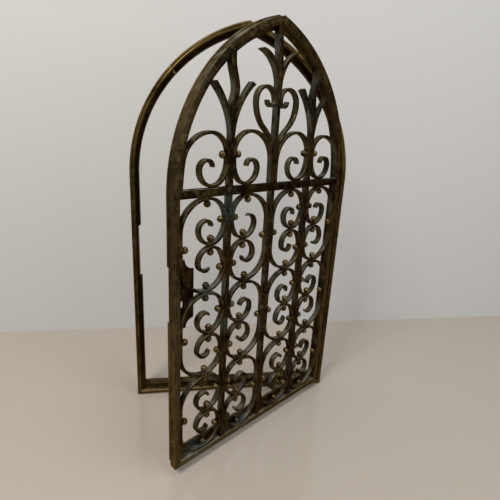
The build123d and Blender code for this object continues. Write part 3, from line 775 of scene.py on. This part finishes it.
def stud_places(back, side, middle, cell):
    reach = stud_radius + stud_seat
    crown_x = cell - strap / 2 - brow_radius
    cheek_x = cell - strap - reach
    hook_shift = (cheek_radius - hook_radius) * math.cos(math.radians(cheek_turn))
    hook_x = cell - strap / 2 - cheek_radius + hook_shift
    places = [(strap + reach, 0)]
    for way in (1, -1):
        places.append((crown_x, way * (c_half_height - strap - reach)))
        places.append((cheek_x, way * (c_half_height - strap / 2 - brow_radius)))
        places.append((hook_x, way * (hook_gap / 2 + strap + reach)))
    return [(back + side * x, middle + z) for x, z in places]


bend_radius = rib_radius - strap / 2
stud_spots = {}
for name, (back, side, cell) in columns.items():
    outer = abs(back) > bar_spacing
    upper = upper_scroll_outer if outer else upper_scroll_inner
    shoulder = cell - strap - brow_radius
    crown_z = transom_top + upper - strap / 2
    if outer:
        rise = crown_z - shoulder - springing
        leave = math.degrees(math.asin(rise / (bend_radius - shoulder)))
        foot_z = transom_top + scroll_gap
        begin = math.degrees(math.asin((foot_z - springing) / bend_radius))
        crown_x = arch_centre - (bend_radius - shoulder) * math.cos(math.radians(leave))
        base_x = arch_centre - bend_radius * math.cos(math.radians(begin))
        brow = rib_inner - bar_spacing - half_bar - scroll_gap - strap / 2 - (rib_inner + crown_x)
        runs = [(bend_radius, leave - begin), (shoulder, 90 - leave)] + hook_runs(brow, upper, 0.9)
        start, heading = (-side * abs(base_x), foot_z), 90 - side * begin
        cheek_x = -side * (bar_spacing + half_bar + scroll_gap + strap + stud_radius + stud_seat)
    else:
        brow = brow_radius
        runs = [(crown_z - shoulder - transom_top, 0), (shoulder, 90)] + hook_runs(brow, upper, 0.92)
        start, heading = (back + side * strap / 2, transom_top), 90
        cheek_x = back + side * (cell - strap - stud_radius - stud_seat)
    paths = []
    for row, middle in enumerate(row_middles):
        halves = []
        tapers = []
        for top in (1, 0):
            half, taper = half_c(cell, name, row, top)
            straight = c_half_height - strap / 2 - half[0][0]
            way = -side if top else side
            halves.append(chain(
                (back + side * strap / 2, middle), 90 if top else -90, [(straight, 0)] + mirrored(half, way)
            ))
            tapers.append(taper)
        paths.append((halves[1][::-1] + halves[0][1:], tapers[1], tapers[0]))
    paths.append((chain(start, heading, mirrored(runs, -side)), 1.0, 0.85))
    forged_straps(name + "_scrolls_forged", paths, (name + "_scrolls",))
    stud_spots[name] = [(cheek_x, crown_z - brow)]
    for middle in row_middles:
        stud_spots[name] += stud_places(back, side, middle, cell)

# Heart scrolls
heart_clear_height = 40
shoulder_radius = inner_cell - strap - brow_radius
heart_start_x = half_bar + scroll_gap + strap / 2
heart_up = heart_waist - heart_foot
heart_turn = 2 * math.degrees(math.atan2(heart_reach - heart_start_x, heart_up))
heart_sway = heart_up / math.sin(math.radians(heart_turn)) / 2
heart_return = heart_reach - heart_crown_radius - heart_start_x
shoulder_x = half_bar + strap / 2 + shoulder_radius
shoulder_z = transom_top + upper_scroll_inner - strap / 2 - shoulder_radius
for label, side in (("left", -1), ("right", 1)):
    runs = [
        (heart_sway, -heart_turn), (heart_sway, heart_turn), (heart_crown_radius, 90),
        (heart_return, 90), (heart_curl_radius, 180),
    ]
    points = chain((side * heart_start_x, heart_foot), 90, mirrored(runs, side))
    shoulder_middle = Vector((side * shoulder_x, shoulder_z))
    clear = shoulder_radius + strap + scroll_gap
    kept = [
        point for point in points
        if (point - shoulder_middle).length > clear or point.y > shoulder_z + heart_clear_height
    ]
    forged_straps(f"heart_scroll_{label}_forged", [(kept, 0.9, 0.8)], (f"heart_scroll_{label}",))

# Studs: round balls set against the straps, each a little different
round_stud_radius = 1.04 * stud_radius
stud_spread = 0.05
stud_jitter = 0.3
stud_seed = 3
stud_tree, sm, given, out = tree_with(
    "round_studs",
    [("Radius", NUMBER, round_stud_radius * MM), ("Spread", NUMBER, stud_spread),
     ("Seed", "NodeSocketInt", stud_seed), ("Finish", "NodeSocketMaterial", None)],
)
ball = sm.node("GeometryNodeMeshUVSphere")
ball.inputs["Segments"].default_value = 20
ball.inputs["Rings"].default_value = 12
sm.join(given["Radius"], ball.inputs["Radius"])
smooth_ball = sm.node("GeometryNodeSetShadeSmooth")
sm.join(ball.outputs[0], smooth_ball.inputs["Geometry"])
size = sm.node("FunctionNodeRandomValue", data_type="FLOAT")
sm.feed([i for i in size.inputs if i.enabled][0], sm.math("SUBTRACT", 1.0, given["Spread"]))
sm.feed([i for i in size.inputs if i.enabled][1], 1.0)
sm.join(given["Seed"], size.inputs["Seed"])
scatter = sm.node("GeometryNodeInstanceOnPoints")
sm.join(given["Geometry"], scatter.inputs["Points"])
sm.join(smooth_ball.outputs[0], scatter.inputs["Instance"])
sm.join([o for o in size.outputs if o.enabled][0], scatter.inputs["Scale"])
real = sm.node("GeometryNodeRealizeInstances")
sm.join(scatter.outputs[0], real.inputs[0])
coated = sm.node("GeometryNodeSetMaterial")
sm.join(real.outputs[0], coated.inputs["Geometry"])
sm.join(given["Finish"], coated.inputs["Material"])
sm.join(coated.outputs[0], out["Geometry"])

for name, spots in stud_spots.items():
    mesh = bpy.data.meshes.new(name + "_spots")
    centres = [
        (x * MM, z * MM, strap_middle * MM + hand.uniform(-stud_jitter, stud_jitter) * MM)
        for x, z in spots
    ]
    mesh.from_pydata(centres, [], [])
    spot_object = bpy.data.objects.new(name + "_spots", mesh)
    bpy.context.scene.collection.objects.link(spot_object)
    modifier = spot_object.modifiers.new("studs", "NODES")
    modifier.node_group = stud_tree
    set_input(modifier, "Radius", round_stud_radius * MM)
    set_input(modifier, "Spread", stud_spread)
    set_input(modifier, "Seed", stud_seed)
    set_input(modifier, "Finish", stud_bronze)
    studs = evaluated(spot_object)
    studs.transform(leaf_place)
    studs.update()
    finished(studs, name + "_studs_round", "leaf", stud_bronze, (name + "_studs",), 60.0)


# Stage: pale floor and wall, soft studio light, camera
def plain(name, colour, rough):
    made = bpy.data.materials.new(name)
    made.use_nodes = True
    surface = made.node_tree.nodes["Principled BSDF"]
    surface.inputs["Base Color"].default_value = colour
    surface.inputs["Roughness"].default_value = rough
    return made


def stage_quad(name, corners, material):
    mesh = bpy.data.meshes.new(name)
    mesh.from_pydata(corners, [], [tuple(range(len(corners)))])
    made = bpy.data.objects.new(name, mesh)
    mesh.materials.append(material)
    bpy.context.scene.collection.objects.link(made)


stage_reach = 4
wall_y = 0.211
floor_finish = plain("floor_finish", (0.425, 0.37, 0.315, 1), 0.15)
floor_corners = [
    (-stage_reach, -stage_reach, 0), (stage_reach, -stage_reach, 0),
    (stage_reach, stage_reach, 0), (-stage_reach, stage_reach, 0),
]
stage_quad("floor", floor_corners, floor_finish)

# The wall is see-through from its back, for the views from behind
wall_finish = plain("wall_finish", (0.6, 0.585, 0.56, 1), 0.7)
wall_nodes = wall_finish.node_tree.nodes
wall_links = wall_finish.node_tree.links
see_through = wall_nodes.new("ShaderNodeBsdfTransparent")
either = wall_nodes.new("ShaderNodeMixShader")
wall_links.new(wall_nodes.new("ShaderNodeNewGeometry").outputs["Backfacing"], either.inputs[0])
wall_links.new(wall_nodes["Principled BSDF"].outputs[0], either.inputs[1])
wall_links.new(see_through.outputs[0], either.inputs[2])
wall_links.new(either.outputs[0], wall_nodes["Material Output"].inputs["Surface"])
wall_corners = [
    (-stage_reach, wall_y, 0), (stage_reach, wall_y, 0),
    (stage_reach, wall_y, stage_reach), (-stage_reach, wall_y, stage_reach),
]
stage_quad("backdrop", wall_corners, wall_finish)

world = bpy.data.worlds.new("studio")
bpy.context.scene.world = world
world.use_nodes = True
sky = world.node_tree.nodes["Background"]
sky.inputs["Color"].default_value = (0.95, 0.97, 1.0, 1)
sky.inputs["Strength"].default_value = 0.42


lit_point = (0, 0, 0.25)


def lamp(name, place, size, power, colour):
    data = bpy.data.lights.new(name, "AREA")
    data.shape = "SQUARE"
    data.size = size
    data.energy = power
    data.color = colour
    made = bpy.data.objects.new(name, data)
    made.location = place
    made.rotation_euler = (Vector(lit_point) - Vector(place)).to_track_quat("-Z", "Y").to_euler()
    bpy.context.scene.collection.objects.link(made)


lamp("key", (-0.95, -1.0, 1.75), 0.6, 26.0, (1.0, 0.96, 0.91))
lamp("overhead", (0.35, -0.45, 1.9), 0.6, 9.0, (0.82, 0.92, 1.0))
lamp("fill", (1.2, -1.3, 0.9), 1.2, 6.0, (0.95, 0.97, 1.0))

# Camera where the photograph was taken from: place in metres; turn, tilt and roll in degrees
camera_place = (-0.08464, -0.56093, 0.42319)
camera_angles = (10.42, 17.58, 3.19)
camera_data = bpy.data.cameras.new("camera")
camera_data.sensor_width = 36.0
camera_data.lens = 28.13
camera_data.clip_start = 0.01
camera = bpy.data.objects.new("camera", camera_data)
bpy.context.scene.collection.objects.link(camera)
bpy.context.scene.camera = camera
yaw, pitch, roll = (math.radians(angle) for angle in camera_angles)
ahead = Vector((math.sin(yaw) * math.cos(pitch), math.cos(yaw) * math.cos(pitch), -math.sin(pitch)))
level = Vector((math.cos(yaw), -math.sin(yaw), 0))
above = level.cross(ahead)
right = level * math.cos(roll) + above * math.sin(roll)
top = above * math.cos(roll) - level * math.sin(roll)
turned = Matrix((right, top, -ahead)).transposed().to_4x4()
camera.matrix_world = Matrix.Translation(camera_place) @ turned

bpy.context.scene.view_settings.view_transform = "Standard"
